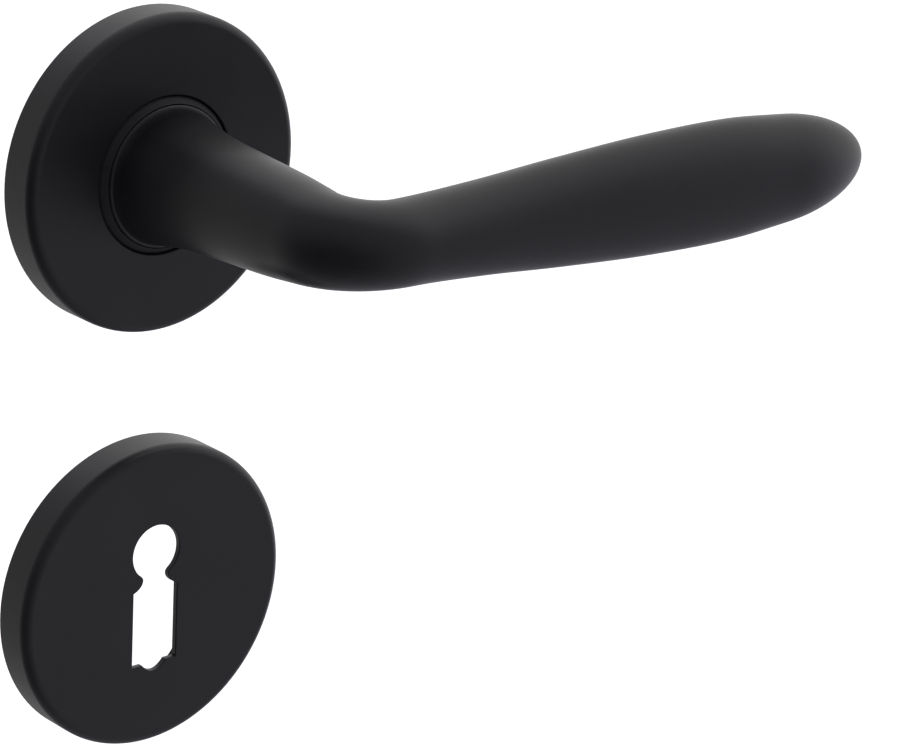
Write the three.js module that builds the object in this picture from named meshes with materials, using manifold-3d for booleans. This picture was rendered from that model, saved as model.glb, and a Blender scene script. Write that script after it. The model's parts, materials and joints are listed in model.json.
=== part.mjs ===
// Lever handle on a round rose, with a separate round key escutcheon below it.
// Millimetres. +X is the way the lever points, +Y goes into the door, +Z is up.
// The origin is where the spindle's axis meets the face of the door.
import * as THREE from 'three';
import { mergeVertices } from 'three/addons/utils/BufferGeometryUtils.js';
import Module from 'manifold-3d';

const wasm = await Module();
wasm.setup();

// ---- driving dimensions -------------------------------------------------------------
const gap = 0.3;               // clearance between pieces that touch or run in each other
const roundSides = 48;         // sides of the large round faces
const smallSides = 12;         // sides of screws, sleeves and bosses

const plate = {                // both round plates are one size
  radius: 26,
  depth: 7,                    // from the door to the front face
  edge: 1.6,                   // rounding of the front edge
  wall: 1,                     // the cover is a pressed cap
};
const escutcheonDrop = 72;     // spindle axis to the middle of the escutcheon
const coverHole = 12.9;        // radius of the hole that the lever comes out of

const base = {                 // moulded dishes that the covers snap on to
  radius: plate.radius - plate.wall - 0.4,
  floor: 1.2,
  front: -5.6,                 // front edge of the rim
  rim: 1.8,
  bossRadius: 4.2,
  bossFront: -4.6,
  ribFront: -3.4,
};
const snapRing = { radius: 24.2, wire: 0.45, y: -2.3, split: 12 };

const screw = {
  circle: 19.4,
  holes: [35, 145, 215, 325],  // degrees round from +X towards +Z
  fitted: { right: 35, left: 215 },
  head: 3.4,
  rim: 0.3,                    // straight edge of the head
  headDepth: 2.1,
  shank: 1.5,
  point: 3,
  length: 16,
  front: -4.4,
};
const sleeve = {               // threaded sleeves for bolts through the door
  circle: 19,
  places: { upper: 90, lower: 270 },
  boss: 3.6,
  radius: 3.4,
  spigot: 2.1,
  bore: 1.7,
  front: -3.9,
  end: 7,
};

const boss = { radius: 8, flat: 7, end: 7.6, groove: 7, grooveStart: 5.4, grooveEnd: 6.8 };
const hub = { radius: boss.radius + gap, outer: 10.4, front: -3.8, end: 4.4 };
const collar = { radius: 11.6, back: -5.2, front: -7.9, neck: 10.9 };
const washer = { outer: 10.2, front: 4.7, back: 5.4 };
const circlip = { inner: boss.groove + gap, outer: 9.4, front: 5.7, back: 6.5, ear: 1.5, earAngle: 11 };
const guide = { inner: 12, outer: 12.6, flange: 16, front: -6.4, step: -5.7, back: -5.2 };

const channel = { inner: 12, outer: 15, wall: 0.9, front: -4.9 };
const spring = { circle: 13.5, coil: 0.8, wire: 0.25, turns: 7, y: -2.55, from: -3, to: 84 };
const driver = { front: -4.9, back: -4.1, outer: 14.6, tabs: [90, 270], tabHalf: 1, tabInner: 12.4, tabBack: -1.5 };
const travel = 45;             // degrees that the lever turns down
const stopPeg = { circle: 10.2, radius: 0.8, front: -4.9, places: [0, 180] };

const spindle = { half: 4, inner: -23.4, outer: 22, chamfer: 0.5 };
const grub = { y: -14, radius: 2.85, tip: -4.3, foot: -8.7, socket: 1.5, socketDepth: 2.6 };

const lever = {
  gripDepth: 52.9,             // the grip's centre line, out from the door
  bend: 10,                    // radius of the elbow's centre line
  slope: 0.054,                // how far the grip leans out, per mm of its length
  tip: 17,                     // length of the rounded tip
  step: 5,                     // distance between rings
  sides: 24,
};
// distance along the centre line from the door, half height, half depth
const leverSections = [
  [8.6, 10.9, 10.9],
  [17, 9.5, 9.5],
  [27, 8.8, 8.8],
  [37, 8.2, 8.3],
  [47, 7.2, 7.5],
  [57.5, 6.7, 6.9],
  [72, 7.4, 6.5],
  [88, 8.7, 6.4],
  [106, 9.8, 6.6],
  [124, 10, 6.8],
  [138, 8.9, 6.6],
  [152.5, 8.2, 6.3],
];

const keyhole = {              // heights are from the middle of the escutcheon
  radius: 4.7,
  centre: 7.9,
  mouth: 44,                   // degrees below level where the round part ends
  waist: 2.5,
  waistHeight: 3.5,
  slot: 4.4,
  shoulder: 1.5,
  foot: -11.7,
  lobe: 2.4,
  lobeDepth: 2.8,
};
const keyWindow = { half: 10.5, top: 14.5, bottom: -17.5, corner: 8, wall: 1.2, front: -4.8 };

// ---- helpers ------------------------------------------------------------------------
const radians = (degrees) => THREE.MathUtils.degToRad(degrees);
const onCircle = (radius, degrees) => [radius * Math.cos(radians(degrees)), radius * Math.sin(radians(degrees))];

function signedVolume(position, index) {
  const [a, b, c] = [new THREE.Vector3(), new THREE.Vector3(), new THREE.Vector3()];
  let volume = 0;
  for (let i = 0; i < index.length; i += 3) {
    a.fromBufferAttribute(position, index[i]);
    b.fromBufferAttribute(position, index[i + 1]);
    c.fromBufferAttribute(position, index[i + 2]);
    volume += a.dot(b.cross(c)) / 6;
  }
  return volume;
}

// a closed geometry becomes a solid whose faces point outwards
function solid(geometry) {
  geometry.deleteAttribute('normal');
  geometry.deleteAttribute('uv');
  const merged = mergeVertices(geometry, 1e-4);
  const position = merged.getAttribute('position');
  const corners = Array.from(merged.getIndex().array);
  if (signedVolume(position, corners) < 0) {
    corners.reverse();
  }
  const triangles = [];
  for (let i = 0; i < corners.length; i += 3) {
    const [p, q, r] = corners.slice(i, i + 3);
    if (p !== q && q !== r && r !== p) {
      triangles.push(p, q, r);
    }
  }
  return new wasm.Manifold(new wasm.Mesh({
    numProp: 3,
    vertProperties: new Float32Array(position.array),
    triVerts: new Uint32Array(triangles),
  }));
}

function toGeometry(body) {
  const mesh = body.getMesh();
  const geometry = new THREE.BufferGeometry();
  geometry.setAttribute('position', new THREE.BufferAttribute(mesh.vertProperties, 3));
  geometry.setIndex(new THREE.BufferAttribute(mesh.triVerts, 1));
  geometry.computeVertexNormals();
  return geometry;
}

const joinAll = (bodies) => bodies.reduce((whole, body) => whole.add(body));
const cutAll = (body, cuts) => cuts.reduce((left, cut) => left.subtract(cut), body);

// a round solid about the Y axis, from corners of radius and depth
function spun(corners, sides = roundSides) {
  const points = [...corners, corners[0]].map(([radius, y]) => new THREE.Vector2(radius, y));
  return solid(new THREE.LatheGeometry(points, sides));
}

const disc = (radius, front, back, sides = roundSides) =>
  spun([[0, front], [radius, front], [radius, back], [0, back]], sides);

const ring = (inner, outer, front, back, sides = roundSides) =>
  spun([[inner, front], [outer, front], [outer, back], [inner, back]], sides);

// points along a quarter round, from one angle to another
function arc(centreRadius, centreY, radius, fromDegrees, toDegrees, steps) {
  return Array.from({ length: steps + 1 }, (_, i) => {
    const [across, along] = onCircle(radius, fromDegrees + ((toDegrees - fromDegrees) * i) / steps);
    return [centreRadius + across, centreY + along];
  });
}

// a flat shape drawn in X and Z becomes a plate between two depths
function cutPlate(shape, front, back, curveSegments = 6) {
  const settings = { depth: back - front, bevelEnabled: false, curveSegments };
  return solid(new THREE.ExtrudeGeometry(shape, settings).rotateX(Math.PI / 2).translate(0, back, 0));
}

const block = (width, depth, height, x, y, z) =>
  solid(new THREE.BoxGeometry(width, depth, height).translate(x, y, z));

// part of a flat ring between two angles
function sector(inner, outer, fromDegrees, toDegrees, front, back) {
  const shape = new THREE.Shape();
  shape.absarc(0, 0, outer, radians(fromDegrees), radians(toDegrees), false);
  shape.absarc(0, 0, inner, radians(toDegrees), radians(fromDegrees), true);
  return cutPlate(shape, front, back);
}

const standOn = (circle, degrees, body) => {
  const [x, z] = onCircle(circle, degrees);
  return body.translate([x, 0, z]);
};

// round wire along a curve
function wire(curve, radius, steps) {
  const section = new THREE.Shape().setFromPoints(
    [0, 72, 144, 216, 288].map((degrees) => new THREE.Vector2(...onCircle(radius, degrees))));
  return solid(new THREE.ExtrudeGeometry(section, { steps, extrudePath: curve, bevelEnabled: false }));
}

// ---- covers -------------------------------------------------------------------------
function coverCap(hole) {
  const { radius, depth, edge, wall } = plate;
  const centre = radius - edge;
  return spun([
    [hole, -depth],
    ...arc(centre, edge - depth, edge, -90, 0, 4),
    [radius, 0],
    [radius - wall, 0],
    ...arc(centre, edge - depth, edge - wall, 0, -90, 2),
    [hole, wall - depth],
  ]);
}

function keyholeShape() {
  const { radius, centre, mouth, waist, waistHeight, slot, shoulder, foot, lobe, lobeDepth } = keyhole;
  const [mouthX, mouthRise] = onCircle(radius, -mouth);
  const shape = new THREE.Shape();
  shape.moveTo(slot, foot);
  shape.lineTo(slot, shoulder);
  shape.quadraticCurveTo(waist + 0.1, shoulder + 0.7, waist, waistHeight);
  shape.quadraticCurveTo(waist, waistHeight + 0.5, mouthX, centre + mouthRise);
  shape.absarc(0, centre, radius, radians(-mouth), radians(180 + mouth), false);
  shape.quadraticCurveTo(-waist, waistHeight + 0.5, -waist, waistHeight);
  shape.quadraticCurveTo(-waist - 0.1, shoulder + 0.7, -slot, shoulder);
  shape.lineTo(-slot, foot);
  shape.lineTo(-lobe, foot);
  shape.quadraticCurveTo(0, foot - lobeDepth, lobe, foot);
  shape.closePath();
  return shape;
}

const roseCover = () => coverCap(coverHole);
const escutcheonCover = () => coverCap(0).subtract(cutPlate(keyholeShape(), -plate.depth - 1, 0));

// ---- moulded bases ------------------------------------------------------------------
// a shallow dish: floor against the door, rim with the snap ring's groove
function baseDish() {
  const { radius, floor, front, rim } = base;
  const grooveFloor = snapRing.radius - snapRing.wire - gap;
  const half = snapRing.wire + gap;
  return spun([
    [0, 0], [0, -floor], [radius - rim, -floor], [radius - rim, front], [radius, front],
    [radius, snapRing.y - half], [grooveFloor, snapRing.y - half],
    [grooveFloor, snapRing.y + half], [radius, snapRing.y + half], [radius, 0],
  ]);
}

const screwBosses = () => screw.holes.map((degrees) =>
  standOn(screw.circle, degrees, disc(base.bossRadius, base.bossFront, 0, smallSides)));

// countersunk holes, clear of the screws all round
function screwHoles() {
  const { head, headDepth, shank, front } = screw;
  const clear = shank + 0.5;
  const hole = spun([
    [0, front - 1], [head + gap, front - 1], [head + gap, front + gap], [clear, front + headDepth],
    [clear, 1], [0, 1],
  ], smallSides);
  return screw.holes.map((degrees) => standOn(screw.circle, degrees, hole));
}

// low walls that stiffen a dish, from a radius out to the rim
function ribs(inner, angles) {
  const length = base.radius - base.rim - inner + 0.5;
  const rib = block(length, -base.ribFront, 1, inner + length / 2, base.ribFront / 2, 0);
  return angles.map((degrees) => rib.rotate([0, -degrees, 0]));
}

function roseBase() {
  const { inner, outer, wall, front } = channel;
  const peg = disc(stopPeg.radius, stopPeg.front, hub.front + 0.5, 10);
  const sleeveBoss = disc(sleeve.boss, base.bossFront, 0, smallSides);
  const sleeveHole = disc(sleeve.spigot + gap, -8, 8, smallSides);
  const sleevePlaces = Object.values(sleeve.places);
  const body = joinAll([
    baseDish(),
    disc(inner, hub.front, 0),
    disc(hub.outer, 0, hub.end),
    ring(outer, outer + wall, front, 0),
    ...ribs(outer + wall / 2, [0, 62, 118, 180, 242, 298]),
    ...screwBosses(),
    ...sleevePlaces.map((degrees) => standOn(sleeve.circle, degrees, sleeveBoss)),
    ...stopPeg.places.map((degrees) => standOn(stopPeg.circle, degrees, peg)),
    ...driver.tabs.flatMap((degrees) => [
      sector(inner - 0.5, outer + 0.5, degrees + 7, degrees + 13, hub.front, 0),
      sector(inner - 0.5, outer + 0.5, degrees - 102, degrees - 96, hub.front, 0),
    ]),
  ]);
  return cutAll(body, [
    disc(hub.radius, -9, 9),
    ...screwHoles(),
    ...sleevePlaces.map((degrees) => standOn(sleeve.circle, degrees, sleeveHole)),
  ]);
}

// opening behind the keyhole, wide enough for a key held at a slant
function windowShape(grow) {
  const { half, top, bottom, corner } = keyWindow;
  const [x, high, low, radius] = [half + grow, top + grow, bottom - grow, corner + grow];
  const shape = new THREE.Shape();
  shape.absarc(x - radius, high - radius, radius, 0, Math.PI / 2, false);
  shape.absarc(radius - x, high - radius, radius, Math.PI / 2, Math.PI, false);
  shape.absarc(radius - x, low + radius, radius, Math.PI, 1.5 * Math.PI, false);
  shape.absarc(x - radius, low + radius, radius, 1.5 * Math.PI, 2 * Math.PI, false);
  return shape;
}

function escutcheonBase() {
  const body = joinAll([
    baseDish(),
    cutPlate(windowShape(keyWindow.wall), keyWindow.front, 0),
    ...ribs(keyWindow.half + 0.5, [0, 180]),
    ...ribs(15, [62, 118]),
    ...ribs(18, [242, 298]),
    ...screwBosses(),
  ]);
  return cutAll(body, [cutPlate(windowShape(0), -9, 9), ...screwHoles()]);
}

// ---- rings, screws and sleeves ------------------------------------------------------
class RingCurve extends THREE.Curve {
  getPoint(t) {
    const [x, z] = onCircle(snapRing.radius, snapRing.split / 2 + t * (360 - snapRing.split));
    return new THREE.Vector3(x, snapRing.y, z);
  }
}

const coverSnapRing = () => wire(new RingCurve(), snapRing.wire, 32);

function guideRing() {
  const { inner, outer, flange, front, step, back } = guide;
  return spun([[inner, front], [outer, front], [outer, step], [flange, step], [flange, back], [inner, back]]);
}

const thrustWasher = () => ring(hub.radius, washer.outer, washer.front, washer.back);

function retainingClip() {
  const { inner, outer, front, back, ear, earAngle } = circlip;
  const earCircle = inner + ear;
  const ears = [90 - earAngle, 90 + earAngle];
  const earDisc = disc(ear, front, back, 14);
  const earHole = disc(ear * 0.45, front - 1, back + 1, 10);
  const band = sector(inner, outer, 90 + earAngle, 450 - earAngle, front, back);
  return cutAll(
    joinAll([band, ...ears.map((degrees) => standOn(earCircle, degrees, earDisc))]),
    [disc(inner, front - 1, back + 1), ...ears.map((degrees) => standOn(earCircle, degrees, earHole))],
  );
}

function woodScrew(degrees) {
  const { head, rim, headDepth, shank, point, length, front } = screw;
  const body = spun([
    [0, front], [head, front], [head, front + rim], [shank, front + headDepth],
    [shank, front + length - point], [0, front + length],
  ], smallSides);
  const slot = [block(4, 3, 0.9, 0, front, 0), block(0.9, 3, 4, 0, front, 0)];
  return standOn(screw.circle, degrees, cutAll(body, slot));
}

function boltSleeve(degrees) {
  const { circle, radius, spigot, bore, front, end } = sleeve;
  return standOn(circle, degrees, spun([
    [bore, front], [spigot, front], [spigot, gap], [radius, gap], [radius, end], [bore, end],
  ], smallSides));
}

// ---- lever and what turns with it ---------------------------------------------------
// the centre line: straight out of the rose, round the elbow, then along the grip
function leverLine(distance) {
  const { gripDepth, bend, slope } = lever;
  const elbow = Math.PI / 2 - Math.atan(slope);
  const bendStart = gripDepth - bend * Math.sin(elbow);
  const angle = THREE.MathUtils.clamp((distance - bendStart) / bend, 0, elbow);
  const along = new THREE.Vector2(Math.sin(angle), -Math.cos(angle));
  const start = Math.min(distance, bendStart);
  const after = Math.max(distance - bendStart - bend * elbow, 0);
  const centre = new THREE.Vector2(bend * (1 - Math.cos(angle)), -start - bend * Math.sin(angle));
  return { centre: centre.addScaledVector(along, after), across: new THREE.Vector2(-along.y, along.x) };
}

// half height and half depth of the lever's section, smooth between the listed ones
const sectionCurve = new THREE.CatmullRomCurve3(leverSections.map((section) => new THREE.Vector3(...section)));
const sectionPoints = sectionCurve.getPoints(220);
function sectionAt(distance) {
  const next = Math.max(1, sectionPoints.findIndex((point) => point.x >= distance));
  const [from, to] = [sectionPoints[next - 1], sectionPoints[next]];
  return from.clone().lerp(to, THREE.MathUtils.clamp((distance - from.x) / (to.x - from.x), 0, 1));
}

// every ring of the lever: distance, half height, half depth
function leverRings() {
  const end = leverSections.at(-1)[0];
  const round = (distance, radius) => new THREE.Vector3(distance, radius, radius);
  const rings = [
    round(-boss.end, 0), round(-boss.end, boss.radius),
    round(-boss.grooveEnd, boss.radius), round(-boss.grooveEnd, boss.groove),
    round(-boss.grooveStart, boss.groove), round(-boss.grooveStart, boss.radius),
    round(-collar.back, boss.radius), round(-collar.back, collar.radius),
    round(-collar.front, collar.radius), round(0.5 - collar.front, collar.radius - 0.2),
  ];
  const straight = end - lever.tip - leverSections[0][0];
  const count = Math.round(straight / lever.step);
  for (let i = 0; i <= count; i += 1) {
    rings.push(sectionAt(leverSections[0][0] + (straight * i) / count));
  }
  for (let degrees = 15; degrees <= 90; degrees += 15) {
    const section = sectionAt(end - lever.tip + lever.tip * Math.sin(radians(degrees)));
    const shrink = degrees === 90 ? 0 : Math.cos(radians(degrees));
    rings.push(new THREE.Vector3(section.x, section.y * shrink, section.z * shrink));
  }
  return rings;
}

// a straight drum of unit rings, one per section, is bent and sized along the centre line
function leverBody() {
  const rings = leverRings();
  const drum = new THREE.LatheGeometry(
    rings.map((section, i) => new THREE.Vector2(section.y > 0 ? 1 : 0, i)), lever.sides);
  const position = drum.getAttribute('position');
  for (let i = 0; i < position.count; i += 1) {
    const section = rings[Math.round(position.getY(i))];
    const { centre, across } = leverLine(section.x);
    const point = centre.addScaledVector(across, position.getX(i) * section.z);
    position.setXYZ(i, point.x, point.y, position.getZ(i) * section.y);
  }
  return solid(drum);
}

function leverHandle() {
  const socket = 2 * (spindle.half + gap);
  const flatDepth = boss.radius - boss.flat + 1;
  const flatCut = (side) =>
    block(flatDepth, 1.4, 20, side * (boss.flat + flatDepth / 2), (collar.back + hub.front) / 2, 0);
  const grubHole = disc(grub.radius + gap, 0, 12, smallSides).rotate([-90, 0, 0]);
  return cutAll(leverBody(), [
    block(socket, boss.end + 1 - spindle.inner + gap, socket, 0, (boss.end + 1 + spindle.inner - gap) / 2, 0),
    flatCut(1),
    flatCut(-1),
    grubHole.translate([0, grub.y, 0]),
  ]);
}

function squareSpindle() {
  const { half, inner, outer, chamfer } = spindle;
  const cut = half - chamfer;
  const corners = [[half, cut], [cut, half], [-cut, half], [-half, cut],
    [-half, -cut], [-cut, -half], [cut, -half], [half, -cut]];
  const shape = new THREE.Shape(corners.map((corner) => new THREE.Vector2(...corner)));
  return cutPlate(shape, inner, outer);
}

// set screw that stands upright under the spindle, with its hexagon socket below
function grubScrew() {
  const { y, radius, tip, foot, socket, socketDepth } = grub;
  const length = tip - foot;
  const body = spun([[0, 0], [radius - 0.6, 0], [radius, 0.6], [radius, length], [0, length]], smallSides);
  const hexagon = disc(socket, length - socketDepth, length + 1, 6);
  return body.subtract(hexagon).rotate([-90, 0, 0]).translate([0, y, tip]);
}

function springDriver() {
  const { front, back, outer, tabs, tabHalf, tabInner, tabBack } = driver;
  const flats = disc(boss.radius + gap, front - 1, back + 1)
    .intersect(block(2 * (boss.flat + gap), 6, 20, 0, back, 0));
  const reach = outer - tabInner;
  const tab = block(reach, tabBack - front, 2 * tabHalf, tabInner + reach / 2, (front + tabBack) / 2, 0);
  const [slotInner, slotOuter] = [stopPeg.circle - stopPeg.radius - gap, stopPeg.circle + stopPeg.radius + gap];
  const slotEnd = THREE.MathUtils.radToDeg((stopPeg.radius + gap) / stopPeg.circle);
  return cutAll(
    joinAll([disc(outer, front, back), ...tabs.map((degrees) => tab.rotate([0, -degrees, 0]))]),
    [flats, ...stopPeg.places.map((degrees) =>
      sector(slotInner, slotOuter, degrees - slotEnd, degrees + travel + slotEnd, front - 1, back + 1))],
  );
}

// coil spring bent round the hub, between its seat and the driver's tab
class SpringCurve extends THREE.Curve {
  constructor(start) {
    super();
    this.start = start;
  }

  getPoint(t) {
    const { circle, coil, turns, y, from, to } = spring;
    const [outwards, along] = onCircle(coil, 360 * turns * t);
    const [x, z] = onCircle(circle + outwards, this.start + from + (to - from) * t);
    return new THREE.Vector3(x, y + along, z);
  }
}

const returnSpring = (start) => wire(new SpringCurve(start), spring.wire, 8 * spring.turns);

// ---- materials ----------------------------------------------------------------------
const finish = (color, roughness, metalness) => new THREE.MeshStandardMaterial({ color, roughness, metalness });
const satinBlack = finish(0x2a2a2d, 0.45, 0.1);
const nylon = finish(0x1c1c1e, 0.6, 0);
const zincSteel = finish(0xb9bcbf, 0.35, 1);
const springSteel = finish(0x7d8084, 0.4, 1);
const acetal = finish(0xe4e2da, 0.5, 0);

// ---- assembly -----------------------------------------------------------------------
function part(name, body, material) {
  const mesh = new THREE.Mesh(toGeometry(body), material);
  mesh.name = name;
  return mesh;
}

const rose = new THREE.Group();
rose.add(
  part('rose_cover', roseCover(), satinBlack),
  part('rose_base', roseBase(), nylon),
  part('rose_snap_ring', coverSnapRing(), springSteel),
  part('guide_ring', guideRing(), nylon),
  part('return_spring_upper', returnSpring(0), springSteel),
  part('return_spring_lower', returnSpring(180), springSteel),
  part('thrust_washer', thrustWasher(), acetal),
);
for (const [place, degrees] of Object.entries(screw.fitted)) {
  rose.add(part(`rose_screw_${place}`, woodScrew(degrees), zincSteel));
}
for (const [place, degrees] of Object.entries(sleeve.places)) {
  rose.add(part(`bolt_sleeve_${place}`, boltSleeve(degrees), zincSteel));
}

const turning = new THREE.Group();
turning.add(
  part('lever_handle', leverHandle(), satinBlack),
  part('square_spindle', squareSpindle(), zincSteel),
  part('grub_screw', grubScrew(), springSteel),
  part('spring_driver', springDriver(), zincSteel),
  part('retaining_clip', retainingClip(), springSteel),
);

const escutcheon = new THREE.Group();
escutcheon.position.z = -escutcheonDrop;
escutcheon.add(
  part('escutcheon_cover', escutcheonCover(), satinBlack),
  part('escutcheon_base', escutcheonBase(), nylon),
  part('escutcheon_snap_ring', coverSnapRing(), springSteel),
);
for (const [place, degrees] of Object.entries(screw.fitted)) {
  escutcheon.add(part(`escutcheon_screw_${place}`, woodScrew(degrees), zincSteel));
}

const lockset = new THREE.Group();
lockset.add(rose, turning, escutcheon);
export default lockset;
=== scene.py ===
import json
import math
import bpy
import bmesh
from mathutils import Matrix, Vector


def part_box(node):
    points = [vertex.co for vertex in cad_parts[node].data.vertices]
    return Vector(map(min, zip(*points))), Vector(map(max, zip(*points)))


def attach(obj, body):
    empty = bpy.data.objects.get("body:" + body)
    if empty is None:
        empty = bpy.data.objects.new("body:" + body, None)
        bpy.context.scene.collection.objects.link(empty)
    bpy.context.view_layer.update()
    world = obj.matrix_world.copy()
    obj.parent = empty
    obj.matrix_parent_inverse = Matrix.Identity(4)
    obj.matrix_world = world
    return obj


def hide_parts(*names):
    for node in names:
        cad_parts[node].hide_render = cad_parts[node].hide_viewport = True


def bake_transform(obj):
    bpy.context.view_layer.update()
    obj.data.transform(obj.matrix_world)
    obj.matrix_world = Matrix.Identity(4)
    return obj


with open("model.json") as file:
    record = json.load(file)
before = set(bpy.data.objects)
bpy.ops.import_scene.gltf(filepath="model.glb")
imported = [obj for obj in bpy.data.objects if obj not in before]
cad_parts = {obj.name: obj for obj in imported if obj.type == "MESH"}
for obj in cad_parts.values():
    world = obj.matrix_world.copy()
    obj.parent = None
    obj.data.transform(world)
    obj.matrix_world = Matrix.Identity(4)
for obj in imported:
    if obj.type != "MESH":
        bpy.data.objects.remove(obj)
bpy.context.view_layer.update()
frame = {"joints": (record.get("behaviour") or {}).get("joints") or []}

# x to the right, y into the door, z up; the spindle's axis is the y axis
# sizes are written in millimetres and turned into metres by mm
scene = bpy.context.scene
mm = 0.001
fullTurn = 2 * math.pi
mergeDistance = 0.000004  # metres
doorBody = "door_plates"
leverBody = "lever"
leverJoint = next(joint for joint in frame["joints"] if joint["name"] == "lever_turn")
keyCentre = sum((Vector(corner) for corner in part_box("escutcheon_cover")), Vector()) / 2
escutcheonDrop = -keyCentre.z / mm


def nodeSpan(node):
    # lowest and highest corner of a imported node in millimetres
    low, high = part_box(node)
    return Vector(low) / mm, Vector(high) / mm


def polar(radius, degrees, y=0.0):
    angle = math.radians(degrees)
    return Vector((radius * math.cos(angle), y, radius * math.sin(angle)))


smallRounding = 0.5  # a rounding under this gets fewer segments


def spunSolid(corners, steps=96, angle=360.0, start=0.0):
    # corners are (radius, y) or (radius, y, rounding); they turn about the y axis
    bm = bmesh.new()
    verts = [bm.verts.new((corner[0] * mm, corner[1] * mm, 0)) for corner in corners]
    onAxis = corners[0][0] == 0 and corners[-1][0] == 0
    for i in range(len(verts) - (1 if onAxis else 0)):
        bm.edges.new((verts[i], verts[(i + 1) % len(verts)]))
    for vert, corner in zip(verts, corners):
        if len(corner) > 2:
            pieces = 3 if corner[2] < smallRounding else 10
            bmesh.ops.bevel(bm, geom=[vert], offset=corner[2] * mm, segments=pieces, profile=0.5,
                            affect="VERTICES", material=-1, clamp_overlap=False)
    wholeTurn = angle > 359.9
    if not wholeTurn:
        bmesh.ops.contextual_create(bm, geom=bm.edges[:])
        bmesh.ops.rotate(bm, verts=bm.verts, cent=(0, 0, 0),
                         matrix=Matrix.Rotation(-math.radians(start), 3, "Y"))
    bmesh.ops.spin(bm, geom=bm.verts[:] + bm.edges[:] + bm.faces[:], cent=(0, 0, 0), axis=(0, -1, 0),
                   angle=math.radians(angle), steps=steps, use_merge=wholeTurn)
    tidyMesh(bm)
    return bm


def tidyMesh(bm):
    bmesh.ops.remove_doubles(bm, verts=bm.verts, dist=mergeDistance)
    bmesh.ops.recalc_face_normals(bm, faces=bm.faces)


def disc(radius, front, back, steps=48, place=(0, 0)):
    bm = bmesh.new()
    turn = Matrix.Rotation(math.pi / 2, 4, "X")
    middle = Matrix.Translation((place[0] * mm, (front + back) / 2 * mm, place[1] * mm))
    bmesh.ops.create_cone(bm, cap_ends=True, segments=steps, radius1=radius * mm, radius2=radius * mm,
                          depth=(back - front) * mm, matrix=middle @ turn)
    return bm


def block(low, high):
    # a box between two corners
    low, high = Vector(low), Vector(high)
    bm = bmesh.new()
    bmesh.ops.create_cube(bm, size=mm)
    bmesh.ops.scale(bm, vec=high - low, verts=bm.verts)
    bmesh.ops.translate(bm, vec=(low + high) / 2 * mm, verts=bm.verts)
    return bm


def turned(bm, degrees):
    # turns a shape round the y axis, from +x towards +z
    bmesh.ops.rotate(bm, verts=bm.verts, cent=(0, 0, 0),
                     matrix=Matrix.Rotation(-math.radians(degrees), 3, "Y"))
    return bm


def pointedDown(bm):
    # turns a shape on the y axis until it hangs down
    bmesh.ops.rotate(bm, verts=bm.verts, cent=(0, 0, 0), matrix=Matrix.Rotation(-math.pi / 2, 3, "X"))
    return bm


def shifted(bm, x=0.0, y=0.0, z=0.0):
    bmesh.ops.translate(bm, verts=bm.verts, vec=Vector((x, y, z)) * mm)
    return bm


def plateFrom(outline, front, back):
    # a flat outline of (x, z) points becomes a plate between two depths
    bm = bmesh.new()
    face = bm.faces.new([bm.verts.new((x * mm, front * mm, z * mm)) for x, z in outline])
    grown = bmesh.ops.extrude_face_region(bm, geom=[face])
    newVerts = [item for item in grown["geom"] if isinstance(item, bmesh.types.BMVert)]
    bmesh.ops.translate(bm, verts=newVerts, vec=(0, (back - front) * mm, 0))
    tidyMesh(bm)
    return bm


def heldObject(bm):
    mesh = bpy.data.meshes.new("work")
    bm.to_mesh(mesh)
    bm.free()
    held = bpy.data.objects.new("work", mesh)
    scene.collection.objects.link(held)
    return held


def combine(bm, tools, operation):
    # joins or cuts shapes and gives the result back as one bmesh
    base = heldObject(bm)
    helpers = [heldObject(tool) for tool in tools]
    for helper in helpers:
        modifier = base.modifiers.new("combine", "BOOLEAN")
        modifier.object = helper
        modifier.operation = operation
        modifier.solver = "MANIFOLD"
    result = bmesh.new()
    result.from_object(base, bpy.context.evaluated_depsgraph_get())
    for held in [base] + helpers:
        mesh = held.data
        bpy.data.objects.remove(held)
        bpy.data.meshes.remove(mesh)
    return result


def join(bm, tools):
    return combine(bm, tools, "UNION")


def cut(bm, tools):
    return combine(bm, tools, "DIFFERENCE")


def softenEdges(bm, width, segments=2, wanted=None, sharper=60):
    # rounds the sharp edges, or those of them whose middle passes a test
    picked = [edge for edge in bm.edges if len(edge.link_faces) == 2
              and edge.calc_face_angle(0) > math.radians(sharper)
              and (wanted is None or wanted((edge.verts[0].co + edge.verts[1].co) / 2 / mm))]
    bmesh.ops.bevel(bm, geom=picked, offset=width * mm, segments=segments, profile=0.5,
                    affect="EDGES", material=-1, clamp_overlap=True)
    return bm


def dissolveFlat(bm, depths):
    # makes one clean face of the flat wedges at each depth
    for depth in depths:
        flat = [edge for edge in bm.edges if all(abs(vert.co.y / mm - depth) < 0.001 for vert in edge.verts)]
        verts = list({vert for edge in flat for vert in edge.verts})
        bmesh.ops.dissolve_limit(bm, angle_limit=0.01, verts=verts, edges=flat)


def makePiece(bm, name, material, body, nodes, sharpAngle=32, weighted=True):
    bmesh.ops.remove_doubles(bm, verts=bm.verts, dist=mergeDistance / 4)
    mesh = bpy.data.meshes.new(name)
    bm.to_mesh(mesh)
    bm.free()
    mesh.shade_smooth()
    mesh.set_sharp_from_angle(angle=math.radians(sharpAngle))
    mesh.materials.append(material)
    piece = bpy.data.objects.new(name, mesh)
    scene.collection.objects.link(piece)
    if weighted:
        modifier = piece.modifiers.new("weightedNormal", "WEIGHTED_NORMAL")
        modifier.keep_sharp = True
    if body:
        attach(piece, body)
    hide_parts(*nodes)
    return piece


def addNode(tree, kind, x, y, **settings):
    node = tree.nodes.new(kind)
    node.location = (x, y)
    for name, value in settings.items():
        setattr(node, name, value)
    return node


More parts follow.
